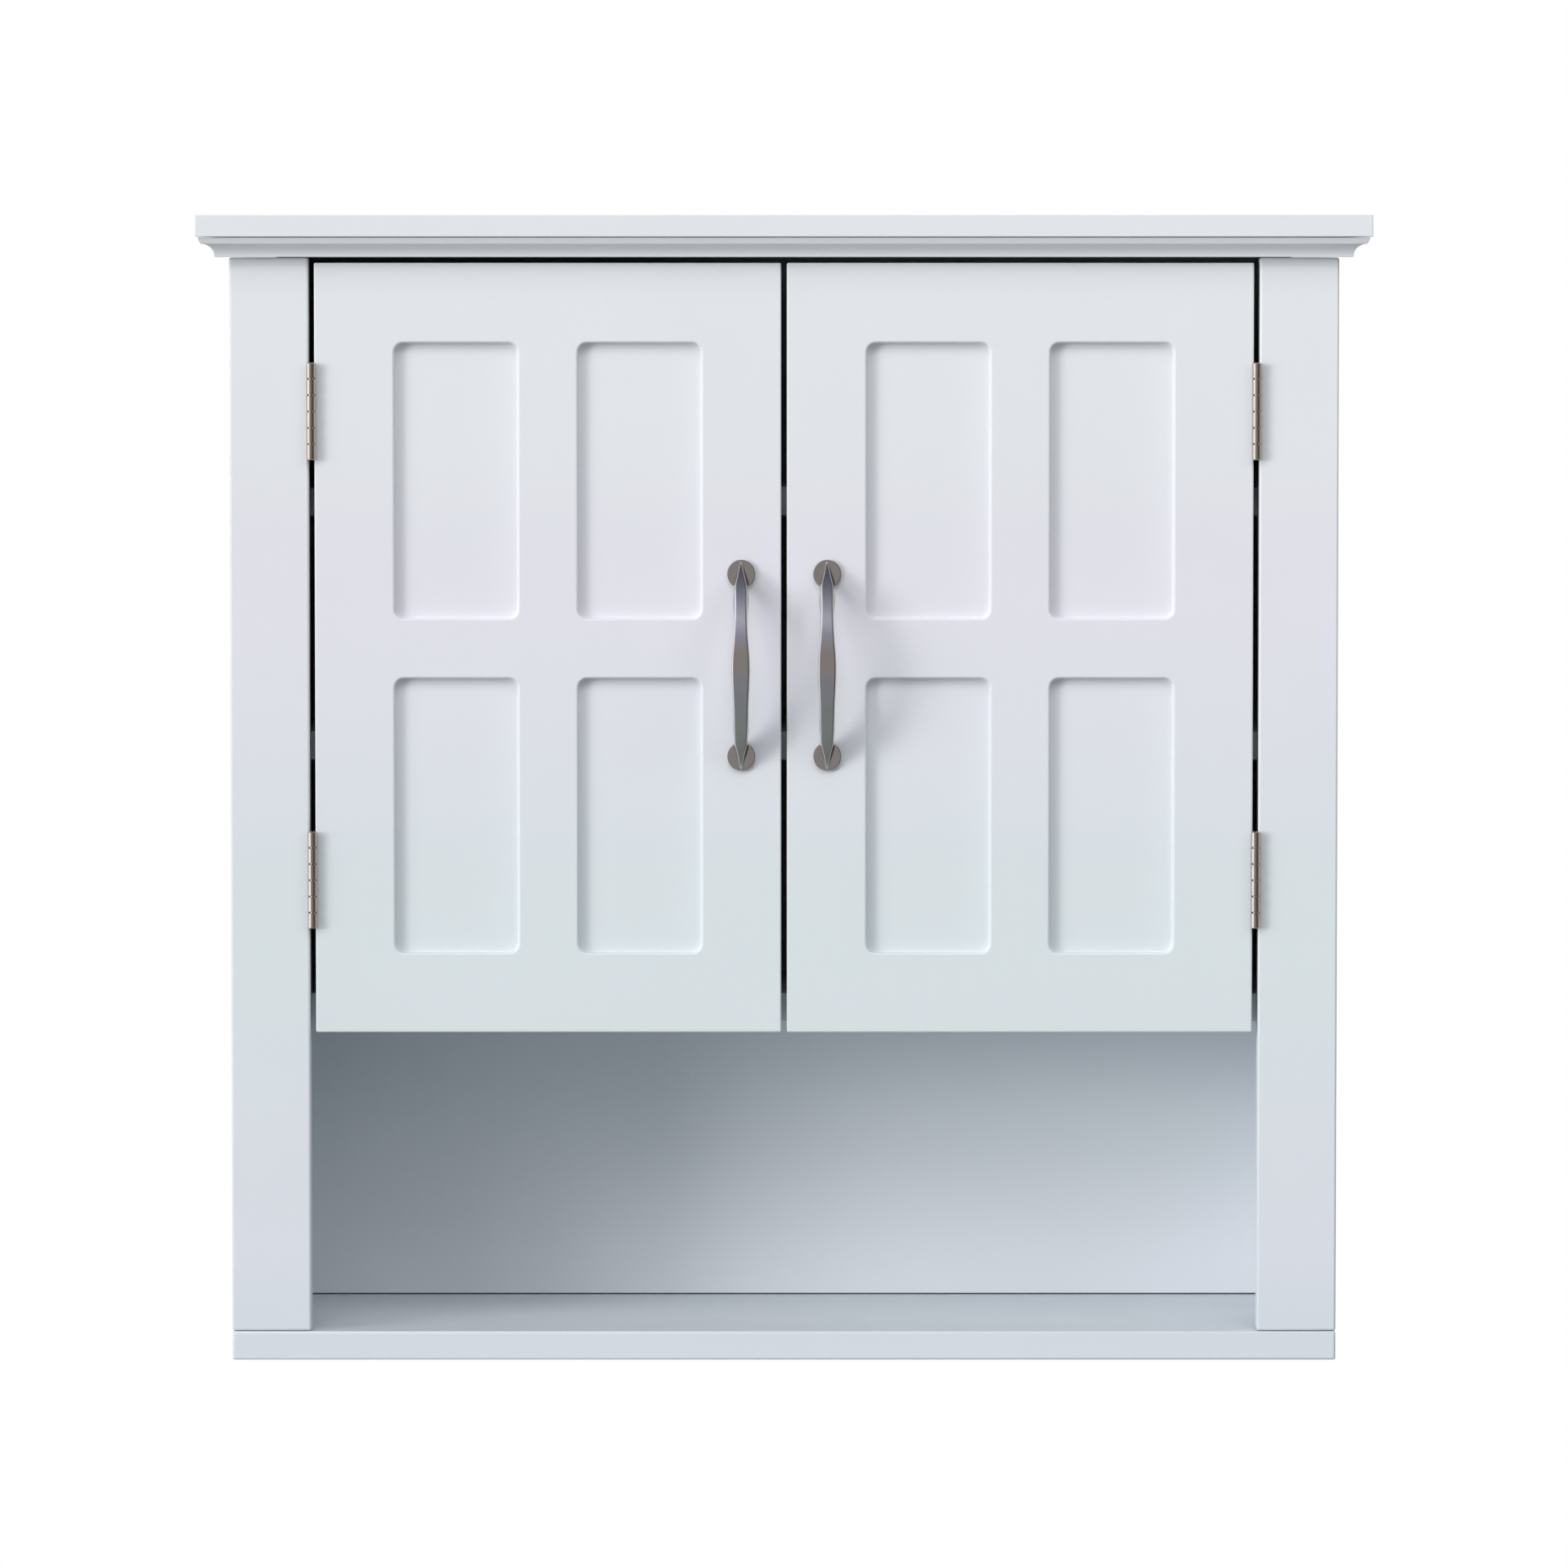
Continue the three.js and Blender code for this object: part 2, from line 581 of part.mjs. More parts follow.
/** A leaf in axes centred on the pin. outward is +1 where the leaf lies on the +X side of it. */
function hingeLeaf(outward, firstKnuckle) {
  const [x0, x1] = span(outward, LEAF_OFFSET, LEAF_OFFSET + LEAF_T);
  const parts = [block([x0, LEAF_FRONT - HINGE_Y, 0], [x1, LEAF_BACK - HINGE_Y, HINGE_H])];
  for (let i = firstKnuckle; i < KNUCKLES; i += 2) {
    const z0 = i * KNUCKLE_H + SEAM / 2;
    const z1 = (i + 1) * KNUCKLE_H - SEAM / 2;
    parts.push(knuckle(z0, z1));
    parts.push(block([x0, TAB_FRONT - HINGE_Y, z0 + 0.1], [x1, LEAF_FRONT - HINGE_Y + 0.5, z1 - 0.1]));
  }
  return join(parts);
}

bothSides((word, side) => {
  for (const [level, z] of Object.entries(HINGE_Z)) {
    const place = [side * HINGE_X, HINGE_Y, z - HINGE_H / 2];
    const name = `hinge_${level}_${word}`;
    add(`${name}_frame_leaf`, hingeLeaf(side, 1).translate(...place), satinNickel);
    add(`${name}_door_leaf`, hingeLeaf(-side, 0).translate(...place), satinNickel);
    const pin = upright(rod(PIN_R, HINGE_H, 14));
    add(`${name}_pin`, pin.translate(...place), satinNickel);
  }
});

// The origin goes to the middle of the hanging rail's back.
cabinet.position.set(0, 0, -hangerZ);

export default cabinet;
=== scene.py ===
import math

import bmesh
import bpy
from mathutils import Matrix, Vector


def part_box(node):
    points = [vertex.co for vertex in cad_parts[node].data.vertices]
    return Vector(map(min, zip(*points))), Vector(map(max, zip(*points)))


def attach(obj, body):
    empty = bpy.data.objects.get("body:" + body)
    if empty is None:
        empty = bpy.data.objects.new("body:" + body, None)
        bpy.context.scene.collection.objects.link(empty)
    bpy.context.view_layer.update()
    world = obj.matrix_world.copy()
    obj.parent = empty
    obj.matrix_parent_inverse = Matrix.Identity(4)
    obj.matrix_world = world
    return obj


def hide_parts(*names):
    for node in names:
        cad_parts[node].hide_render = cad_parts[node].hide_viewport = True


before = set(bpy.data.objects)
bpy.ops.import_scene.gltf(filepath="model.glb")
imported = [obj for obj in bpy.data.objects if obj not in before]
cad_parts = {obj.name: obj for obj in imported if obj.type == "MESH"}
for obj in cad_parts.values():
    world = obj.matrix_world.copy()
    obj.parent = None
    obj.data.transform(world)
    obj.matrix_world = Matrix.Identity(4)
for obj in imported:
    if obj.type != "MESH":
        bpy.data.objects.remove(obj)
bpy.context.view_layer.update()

# Looks of the hanging wall cabinet. Metres, +Z up, doors towards -Y, wall at Y = 0.
# Every piece takes its place from the box of the CAD node that it stands for.

MM = 0.001
SIDES = {"left": -1, "right": 1}
DOOR_BODY = {"left": "left_door", "right": "right_door"}
CARCASS = "carcass"

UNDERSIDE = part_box("bottom_board")[0].z
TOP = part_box("top_board")[1].z
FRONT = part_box("door_left")[0].y
BODY_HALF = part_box("bottom_board")[1].x


# ---------------------------------------------------------------- materials

def linear(red, green, blue):
    """A colour given in 0 to 255 display values, as the linear RGBA that shaders take."""
    def channel(value):
        value /= 255
        return value / 12.92 if value <= 0.04045 else ((value + 0.055) / 1.055) ** 2.4

    return (channel(red), channel(green), channel(blue), 1.0)


def fill_ramp(node, stops):
    """Gives a Color Ramp node its stops, each a position and a colour of four numbers."""
    elements = node.color_ramp.elements
    while len(elements) < len(stops):
        elements.new(0.5)
    for element, (position, colour) in zip(elements, stops):
        element.position = position
        element.color = colour


class Shader:
    """A material with one Principled shader, and short ways to add what drives it."""

    def __init__(self, name, **numbers):
        self.material = bpy.data.materials.new(name)
        self.material.use_nodes = True
        self.tree = self.material.node_tree
        self.bsdf = self.tree.nodes["Principled BSDF"]
        for socket, value in numbers.items():
            self.bsdf.inputs[socket.replace("_", " ")].default_value = value

    def add(self, kind, **settings):
        node = self.tree.nodes.new(kind)
        for key, value in settings.items():
            setattr(node, key, value)
        return node

    def link(self, source, target):
        self.tree.links.new(source, target)

    def place(self):
        """The place on the piece. It stays on the piece when a door turns."""
        return self.add("ShaderNodeTexCoord").outputs["Object"]

    def stretched(self, scale):
        """The place on the piece, with each axis scaled, for a pattern that is drawn out."""
        mapping = self.add("ShaderNodeMapping")
        mapping.inputs["Scale"].default_value = scale
        self.link(self.place(), mapping.inputs["Vector"])
        return mapping.outputs["Vector"]

    def noise(self, scale, detail=2.0, vector=None):
        noise = self.add("ShaderNodeTexNoise")
        noise.inputs["Scale"].default_value = scale
        noise.inputs["Detail"].default_value = detail
        self.link(vector or self.place(), noise.inputs["Vector"])
        return noise.outputs["Fac"]

    def between(self, source, low, high, from_low=0.3, from_high=0.7):
        """Maps a pattern's usual range onto low to high."""
        node = self.add("ShaderNodeMapRange")
        ends = {"From Min": from_low, "From Max": from_high, "To Min": low, "To Max": high}
        for socket, value in ends.items():
            node.inputs[socket].default_value = value
        self.link(source, node.inputs["Value"])
        return node.outputs["Result"]

    def ramp(self, source, stops):
        node = self.add("ShaderNodeValToRGB")
        node.color_ramp.interpolation = "EASE"
        fill_ramp(node, stops)
        self.link(source, node.inputs["Fac"])
        return node.outputs["Color"]

    def multiplied(self, colour, factor):
        """The colour, made lighter or darker by a factor near 1."""
        node = self.add("ShaderNodeVectorMath", operation="SCALE")
        self.link(colour, node.inputs[0])
        self.link(factor, node.inputs["Scale"])
        return node.outputs["Vector"]

    def bump(self, height, strength, distance):
        node = self.add("ShaderNodeBump")
        node.inputs["Strength"].default_value = strength
        node.inputs["Distance"].default_value = distance
        self.link(height, node.inputs["Height"])
        if self.bsdf.inputs["Normal"].is_linked:
            self.link(self.bsdf.inputs["Normal"].links[0].from_socket, node.inputs["Normal"])
        self.link(node.outputs["Normal"], self.bsdf.inputs["Normal"])


def paint(name, stops, roughness=(0.36, 0.46), texture=1.0):
    """Sprayed satin paint over faint clouds and orange peel. Its tone changes with height by the stops
    given, which hold painted light and shade as well as tint.
    """
    shader = Shader(name, IOR=1.46)
    split = shader.add("ShaderNodeSeparateXYZ")
    shader.link(shader.place(), split.inputs["Vector"])
    height = shader.between(split.outputs["Z"], 0, 1, UNDERSIDE, TOP)
    # The tone by height carries the painted light and shade held in the stops.
    tone = shader.ramp(height, stops)
    clouds = shader.between(shader.noise(6, 3), 0.99, 1.008)
    shader.link(shader.multiplied(tone, clouds), shader.bsdf.inputs["Base Color"])
    shader.link(shader.between(shader.noise(38, 3), *roughness), shader.bsdf.inputs["Roughness"])
    shader.bump(shader.noise(420, 2), 0.10 * texture, 0.05 * MM)
    shader.bump(shader.noise(2600, 2), 0.08 * texture, 0.02 * MM)
    return shader.material


def metal(name, dark, light, roughness, grain, grain_bump=0.12):
    """Brushed metal. grain holds the pattern's scale on each axis: small where the strokes run."""
    shader = Shader(name, Metallic=1.0)
    strokes = shader.noise(1.0, 4, shader.stretched(grain))
    clouds = shader.noise(90, 2)
    shader.link(shader.ramp(clouds, [(0.3, dark), (0.7, light)]), shader.bsdf.inputs["Base Color"])
    shader.link(shader.between(strokes, *roughness), shader.bsdf.inputs["Roughness"])
    shader.bump(strokes, grain_bump, 0.02 * MM)
    return shader.material


def moulded(name, colour, roughness, transmission=0.0):
    """Moulded plastic or rubber with a fine mould texture."""
    shader = Shader(name, Transmission_Weight=transmission, IOR=1.45)
    shade = shader.between(shader.noise(60, 2), 0.97, 1.02)
    darker = tuple(channel * 0.98 for channel in colour[:3]) + (1,)
    flat = shader.ramp(shader.noise(300, 2), [(0.35, colour), (0.65, darker)])
    shader.link(shader.multiplied(flat, shade), shader.bsdf.inputs["Base Color"])
    shader.link(shader.between(shader.noise(500, 2), *roughness), shader.bsdf.inputs["Roughness"])
    shader.bump(shader.noise(3000, 2), 0.15, 0.02 * MM)
    return shader.material


# Tones by height, from 0 at the cabinet's underside to 1 at its top.
# White paint: its tint drifts with height, and it is darker towards the bottom as painted shade.
PAINT_TONES_AND_SHADE = [(0.0, linear(217, 222, 227)), (0.03, linear(217, 222, 227)), (0.1, linear(222, 225, 231)),
               (0.36, linear(222, 229, 231)), (0.68, linear(232, 231, 237)), (0.84, linear(234, 236, 238)),
               (1.0, linear(234, 236, 238))]
# Back panel: lighter towards the bottom as a painted pool of light, bounced up from the bay's floor.
BACK_TONES_AND_PAINTED_LIGHT = [(0.0, linear(238, 241, 245)), (0.07, linear(236, 239, 243)), (0.16, linear(231, 235, 239)),
              (0.28, linear(223, 228, 232)), (0.68, linear(230, 232, 236)), (1.0, linear(234, 236, 238))]
WHITE_PAINT_AND_SHADE = paint("white_satin_paint_and_shade", PAINT_TONES_AND_SHADE)
BACK_PAINT_AND_PAINTED_LIGHT = paint("white_hardboard_face_and_painted_light", BACK_TONES_AND_PAINTED_LIGHT, (0.4, 0.52), 1.6)
NICKEL = metal("satin_nickel", linear(196, 193, 190), linear(200, 197, 194), (0.17, 0.2),
               (900, 900, 60), 0.03)
HINGE_NICKEL = metal("satin_nickel_hinge", linear(184, 176, 169), linear(190, 183, 176), (0.2, 0.25),
                     (90, 90, 900), 0.04)
ZINC = metal("zinc_plate", linear(178, 181, 186), linear(200, 202, 204), (0.3, 0.5), (300, 300, 300))
PLASTIC = moulded("white_plastic", linear(232, 232, 229), (0.38, 0.5))
FERRITE = moulded("ferrite", linear(52, 52, 55), (0.5, 0.65))
RUBBER = moulded("clear_rubber", linear(214, 219, 222), (0.18, 0.3), 0.6)


# ---------------------------------------------------------------- mesh helpers

ALIGNED = 0.9995               # a normal's largest component, on a face square to an axis
CREASE = math.radians(40)      # edges sharper than this are shaded as edges
FOLD = 1.0                     # radians, an edge that still has to be rounded
TOUCH = 1e-6                   # two places that are closer than this are the same


def repaint(node, material):
    """Gives a CAD node that stays in the picture its finished material."""
    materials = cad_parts[node].data.materials
    materials.clear()
    materials.append(material)


def facing(direction):
    """Turns +Z to the given direction."""
    return Vector(direction).to_track_quat("Z", "Y").to_matrix().to_4x4()


def middle_at(low, high, y):
    """The middle of a box as seen from the front, at the depth y."""
    return Vector(((low.x + high.x) / 2, y, (low.z + high.z) / 2))


def flatten_aligned(bm):
    """Faces square to an axis are shaded flat, and the rounding between them smooth."""
    bm.normal_update()
    for face in bm.faces:
        face.smooth = max(abs(c) for c in face.normal) < ALIGNED


def add_piece(name, mesh, body, material, stands_for=()):
    """Puts a mesh into the scene as a piece that rides on a body."""
    smooth = [False] * len(mesh.polygons)
    mesh.polygons.foreach_get("use_smooth", smooth)
    mesh.set_sharp_from_angle(angle=CREASE)
    mesh.polygons.foreach_set("use_smooth", smooth)
    mesh.materials.clear()
    mesh.materials.append(material)
    obj = bpy.data.objects.new(name, mesh)
    bpy.context.scene.collection.objects.link(obj)
    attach(obj, body)
    if stands_for:
        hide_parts(*stands_for)


def to_mesh(bm, name="piece"):
    bmesh.ops.recalc_face_normals(bm, faces=bm.faces)
    mesh = bpy.data.meshes.new(name)
    bm.to_mesh(mesh)
    bm.free()
    return mesh


def moved(mesh, matrix):
    """A copy of a mesh, moved."""
    copy = mesh.copy()
    copy.transform(matrix)
    return copy


def boolean(mesh, tools, operation):
    """Joins or cuts a mesh with other meshes, which don't touch each other. It uses all of them up."""
    def as_object(data):
        obj = bpy.data.objects.new("boolean", data)
        bpy.context.scene.collection.objects.link(obj)
        return obj

    bm = bmesh.new()
    for tool in tools:
        bm.from_mesh(tool)
        bpy.data.meshes.remove(tool)
    target = as_object(mesh)
    cutter = as_object(to_mesh(bm))
    modifier = target.modifiers.new("boolean", "BOOLEAN")
    modifier.operation = operation
    modifier.solver = "EXACT"
    modifier.object = cutter
    depsgraph = bpy.context.evaluated_depsgraph_get()
    result = bpy.data.meshes.new_from_object(target.evaluated_get(depsgraph))
    for obj in (target, cutter):
        data = obj.data
        bpy.data.objects.remove(obj)
        bpy.data.meshes.remove(data)
    return result


def box_bmesh(low, high):
    bm = bmesh.new()
    bmesh.ops.create_cube(bm, size=1)
    for vert in bm.verts:
        vert.co = [low[i] + (vert.co[i] + 0.5) * (high[i] - low[i]) for i in range(3)]
    return bm


def ease(bm, edges, radius, segments=4):
    bmesh.ops.bevel(bm, geom=edges, offset=radius, segments=segments, profile=0.5, affect="EDGES")


def sharp_edges(bm):
    return [edge for edge in bm.edges if edge.calc_face_angle() > FOLD]


def board_bmesh(low, high, radius, back_radius=None):
    """A board with rounded edges. The edges around its back face can have a smaller radius."""
    bm = box_bmesh(low, high)
    if back_radius is None:
        ease(bm, bm.edges[:], radius)
    else:
        at_back = [e for e in bm.edges if all(abs(v.co.y - high[1]) < TOUCH for v in e.verts)]
        ease(bm, [e for e in bm.edges if e not in at_back], radius)
        ease(bm, sharp_edges(bm), back_radius, 2)
    flatten_aligned(bm)
    return bm


def lathe(profile, segments=32):
    """A turned solid about +Z from (radius, height) points in mm, the first and last on the axis."""
    bm = bmesh.new()
    rings = []
    for radius, height in profile:
        if radius == 0:
            rings.append([bm.verts.new((0, 0, height * MM))])
            continue
        turns = [2 * math.pi * i / segments for i in range(segments)]
        circle = [Vector((radius * math.cos(turn), radius * math.sin(turn), height)) for turn in turns]
        rings.append([bm.verts.new(point * MM) for point in circle])
    for lower, upper in zip(rings, rings[1:]):
        for i in range(segments):
            j = (i + 1) % segments
            corners = [lower[i % len(lower)], lower[j % len(lower)],
                       upper[j % len(upper)], upper[i % len(upper)]]
            bm.faces.new(dict.fromkeys(corners))
    for face in bm.faces:
        face.smooth = True
    return to_mesh(bm)


def rounded_rectangle(x0, x1, z0, z1, radius, steps=6):
    """Corner arcs of a rectangle in the X-Z plane, anticlockwise as seen from the front."""
    corners = [(x1 - radius, z0 + radius, -90), (x1 - radius, z1 - radius, 0),
               (x0 + radius, z1 - radius, 90), (x0 + radius, z0 + radius, 180)]
    points = []
    for cx, cz, start in corners:
        for i in range(steps + 1):
            angle = math.radians(start + 90 * i / steps)
            points.append((cx + radius * math.cos(angle), cz + radius * math.sin(angle)))
    return points


def extrude_outline(outline, low, high, axis):
    """A closed prism: outline holds (first, second) pairs on the two axes other than axis."""
    bm = bmesh.new()

    def ring(level):
        verts = []
        for first, second in outline:
            point = [first, second]
            point.insert(axis, level)
            verts.append(bm.verts.new(point))
        return verts

    bottom, top = ring(low), ring(high)
    count = len(outline)
    bm.faces.new(bottom)
    bm.faces.new(top)
    for i in range(count):
        j = (i + 1) % count
        bm.faces.new((bottom[i], bottom[j], top[j], top[i]))
    return bm


# ---------------------------------------------------------------- boards of the carcass

def carcass_board(node, radius, back_radius=None):
    low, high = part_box(node)
    mesh = to_mesh(board_bmesh(low, high, radius * MM, back_radius and back_radius * MM))
    add_piece(f"{node}_fine", mesh, CARCASS, WHITE_PAINT_AND_SHADE, [node])


carcass_board("top_board", 0.5)
carcass_board("bottom_board", 1.3, 0.4)
carcass_board("cabinet_floor", 0.8)
carcass_board("shelf_lower", 0.8)
carcass_board("shelf_upper", 0.8)
carcass_board("stile_left", 1.2, 0.3)
carcass_board("stile_right", 1.2, 0.3)
carcass_board("lower_rail", 0.6)

for name in ("side_panel_left", "side_panel_right", "hanging_rail"):
    repaint(name, WHITE_PAINT_AND_SHADE)

BACK_CLEARANCE = 0.45 * MM     # between the back panel and the bottom board, seen as a fine dark line
low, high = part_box("back_panel")
back_mesh = to_mesh(board_bmesh(low + Vector((0, 0, BACK_CLEARANCE)), high, 0.15 * MM))
# The back panel's paint carries painted light: it is lighter towards the bay's floor.
add_piece("back_panel_fine", back_mesh, CARCASS, BACK_PAINT_AND_PAINTED_LIGHT, ["back_panel"])


# ---------------------------------------------------------------- crown moulding

CROWN_LOW, CROWN_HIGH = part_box("crown_front")
CROWN_INNER = FRONT - CROWN_HIGH.y
CROWN_HEIGHT = CROWN_HIGH.z - CROWN_LOW.z
MITRE_SEAM = 0.06 * MM
COVE_FOOT_OUT = 7 * MM
COVE_FOOT_DOWN = 9.3 * MM
COVE_TOP_OUT = 13.6 * MM
COVE_TOP_DOWN = 3.4 * MM
COVE_STEPS = 10
FILLET_FOOT_DOWN = 3 * MM
FILLET_OUT = 15.1 * MM         # at its top, because it slopes outwards
CROWN_NOSE = 0.35 * MM         # small slopes that ease the strip's edges


def crown_profile():
    """Fillet over a cove, as (distance out from the body, distance down) in metres, anticlockwise."""
    points = [(CROWN_INNER, 0), (CROWN_INNER, CROWN_HEIGHT), (COVE_FOOT_OUT - CROWN_NOSE, CROWN_HEIGHT),
              (COVE_FOOT_OUT, CROWN_HEIGHT - CROWN_NOSE), (COVE_FOOT_OUT, COVE_FOOT_DOWN)]
    for i in range(1, COVE_STEPS):
        angle = math.radians(90 * i / COVE_STEPS)
        points.append((COVE_TOP_OUT - (COVE_TOP_OUT - COVE_FOOT_OUT) * math.cos(angle),
                       COVE_FOOT_DOWN - (COVE_FOOT_DOWN - COVE_TOP_DOWN) * math.sin(angle)))
    points += [(COVE_TOP_OUT, COVE_TOP_DOWN), (COVE_TOP_OUT + CROWN_NOSE, FILLET_FOOT_DOWN),
               (FILLET_OUT, CROWN_NOSE), (FILLET_OUT - CROWN_NOSE, 0)]
    return points


def crown_strip(name, ends):
    """Sweeps the profile between two ends, each a function from distance out to a place."""
    bm = bmesh.new()
    rings = []
    for end in ends:
        rings.append([bm.verts.new((*end(out), CROWN_HIGH.z - down)) for out, down in crown_profile()])
    count = len(rings[0])
    for ring in rings:
        bm.faces.new(ring)
    for i in range(count):
        j = (i + 1) % count
        bm.faces.new((rings[0][i], rings[0][j], rings[1][j], rings[1][i]))
    flatten_aligned(bm)
    add_piece(f"{name}_fine", to_mesh(bm), CARCASS, WHITE_PAINT_AND_SHADE, [name])


def front_end(side):
    return lambda out: (side * (BODY_HALF + out - MITRE_SEAM), FRONT - out)


def side_mitre(side):
    return lambda out: (side * (BODY_HALF + out), FRONT - out + MITRE_SEAM)


def side_back(side):
    return lambda out: (side * (BODY_HALF + out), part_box("crown_left")[1].y)


crown_strip("crown_front", [front_end(-1), front_end(1)])
crown_strip("crown_left", [side_mitre(-1), side_back(-1)])
crown_strip("crown_right", [side_mitre(1), side_back(1)])


# ---------------------------------------------------------------- doors

PANEL_MARGIN = 40.9 * MM
PANEL_BAR = 30 * MM
PANEL_DEPTH = 5 * MM
PANEL_CORNER = 5.4 * MM
LIP = 1.1 * MM                 # rounding at the top of a sunk panel's wall
FLOOR_FILLET = 0.9 * MM        # rounding at the foot of that wall
DOOR_EDGE = 0.8 * MM


def panel_levels():
    """(growth of the panel's outline, depth) from the door's face down to the panel's floor."""
    steps = 5
    turns = [math.radians(90 * i / steps) for i in range(steps + 1)]
    lip = [(LIP - LIP * math.sin(t), LIP - LIP * math.cos(t)) for t in turns]
    fillet = [(FLOOR_FILLET * (math.cos(t) - 1), PANEL_DEPTH - FLOOR_FILLET * (1 - math.sin(t)))
              for t in turns]
    return lip + fillet


def sink_panel(bm, x0, x1, z0, z1):
    """Builds one sunk panel and returns the edges of its rim, which lie on the door's face."""
    wall = LIP / 2
    loops = []
    for grow, depth in panel_levels():
        outline = rounded_rectangle(x0 + wall - grow, x1 - wall + grow, z0 + wall - grow, z1 - wall + grow,
                                    PANEL_CORNER - wall + grow)
        loops.append([bm.verts.new((x, FRONT + depth, z)) for x, z in outline])
    count = len(loops[0])
    for upper, lower in zip(loops, loops[1:]):
        for i in range(count):
            j = (i + 1) % count
            bm.faces.new((upper[i], upper[j], lower[j], lower[i]))
    bm.faces.new(loops[-1])
    return [bm.edges.get((loops[0][i], loops[0][(i + 1) % count])) for i in range(count)]


def door_mesh(node):
    """A board with four sunk panels in its face."""
    low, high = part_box(node)
    bm = board_bmesh(low, high, DOOR_EDGE)
    face = max((f for f in bm.faces if f.normal.y < -ALIGNED), key=lambda f: f.calc_area())
    rim = list(face.edges)
    bmesh.ops.delete(bm, geom=[face], context="FACES_ONLY")
    width = (high.x - low.x - 2 * PANEL_MARGIN - PANEL_BAR) / 2
    height = (high.z - low.z - 2 * PANEL_MARGIN - PANEL_BAR) / 2
    for column in range(2):
        for row in range(2):
            x0 = low.x + PANEL_MARGIN + column * (width + PANEL_BAR)
            z0 = low.z + PANEL_MARGIN + row * (height + PANEL_BAR)
            rim += sink_panel(bm, x0, x0 + width, z0, z0 + height)
    bmesh.ops.triangle_fill(bm, use_beauty=True, use_dissolve=False, edges=rim)
    bmesh.ops.recalc_face_normals(bm, faces=bm.faces)
    flatten_aligned(bm)
    return to_mesh(bm)


for word in SIDES:
    add_piece(f"door_{word}_fine", door_mesh(f"door_{word}"), DOOR_BODY[word], WHITE_PAINT_AND_SHADE,
              [f"door_{word}"])


# ---------------------------------------------------------------- pulls

# In mm, about the middle between a pull's feet.
FOOT_R = 7.5
FOOT_T = 1.9
FOOT_CROWN = 0.4               # a foot's face above the bow's tips
FOOT_RIM = 0.45                # rounding around a foot's face
FEET_APART = 95
BOW_OUT = 28                   # from the door to the bow's face at its middle
BOW_T = 5.2
TIP_REACH = FEET_APART / 2 + 7
HEEL_REACH = FEET_APART / 2 - 5.6
BOW_ROUNDNESS = 0.85           # power of the cosine that the bow follows
BACK_SPREAD = 0.6              # the bow's back is this much wider than its face, on each side
BACK_FLARE = 3.6               # and this much more at its feet
FRONT_ROUND, BACK_ROUND = 0.8, 2.2
BOW_RINGS = 64
# Half the width of the bow's face, by height from -1 (lower tip) to 1 (upper tip).
FACE_WIDTHS = [(-1, 0.4), (-0.86, 1.7), (-0.74, 3.1), (-0.38, 3.8), (-0.06, 4.5), (0.12, 4.3), (0.3, 3.5),
               (0.45, 3.1), (0.6, 2.95), (0.77, 2.95), (0.87, 1.8), (1, 0.4)]


def smooth_between(table, place):
    """Cubic interpolation through a short list of (place, value) points."""
    last = len(table) - 1
    i = max(k for k in range(last) if table[k][0] <= place or k == 0)

    def slope(k):
        a, b = table[max(k - 1, 0)], table[min(k + 1, last)]
        return (b[1] - a[1]) / (b[0] - a[0])

    (p0, v0), (p1, v1) = table[i], table[i + 1]
    span = p1 - p0
    t = (place - p0) / span
    a = 2 * (v0 - v1) + span * (slope(i) + slope(i + 1))
    b = 3 * (v1 - v0) - span * (2 * slope(i) + slope(i + 1))
    return ((a * t + b) * t + span * slope(i)) * t + v0


def soft_corners(corners, radii, steps=4):
    """A closed outline with rounded corners, and a point beside each rounding that keeps flats flat."""
    most = 0.3                 # of a side, that one rounding may take
    beside = 1.35              # place of the point beside a rounding, in reaches
    count = len(corners)
    outline = []
    for i, (corner, radius) in enumerate(zip(corners, radii)):
        corner = Vector(corner)
        before = Vector(corners[i - 1]) - corner
        after = Vector(corners[(i + 1) % count]) - corner
        reach = min(radius, most * before.length, most * after.length)
        start = corner + before.normalized() * reach
        end = corner + after.normalized() * reach
        outline.append(corner + before.normalized() * reach * beside)
        for k in range(steps + 1):
            t = k / steps
            outline.append(start * (1 - t) ** 2 + corner * 2 * t * (1 - t) + end * t ** 2)
        outline.append(corner + after.normalized() * reach * beside)
    return outline


def bow_ring(height):
    """One section of the bow, at a height from -1 (lower tip) to 1 (upper tip), in mm."""
    arch = math.cos(height * math.pi / 2) ** BOW_ROUNDNESS if abs(height) < 1 else 0
    front = Vector((FOOT_T + (BOW_OUT - FOOT_T) * arch, height * TIP_REACH))
    back = Vector((FOOT_T + (BOW_OUT - BOW_T - FOOT_T) * arch, height * HEEL_REACH))
    thickness = (front - back).length
    half = smooth_between(FACE_WIDTHS, height)
    back_half = half + BACK_SPREAD + BACK_FLARE * abs(height) ** 5
    corners = [(-half, 0), (half, 0), (back_half, thickness), (-back_half, thickness)]
    ring = []
    for x, depth in soft_corners(corners, [FRONT_ROUND, FRONT_ROUND, BACK_ROUND, BACK_ROUND]):
        out, z = front.lerp(back, depth / thickness)
        ring.append(Vector((x, -out, z)) * MM)
    return ring


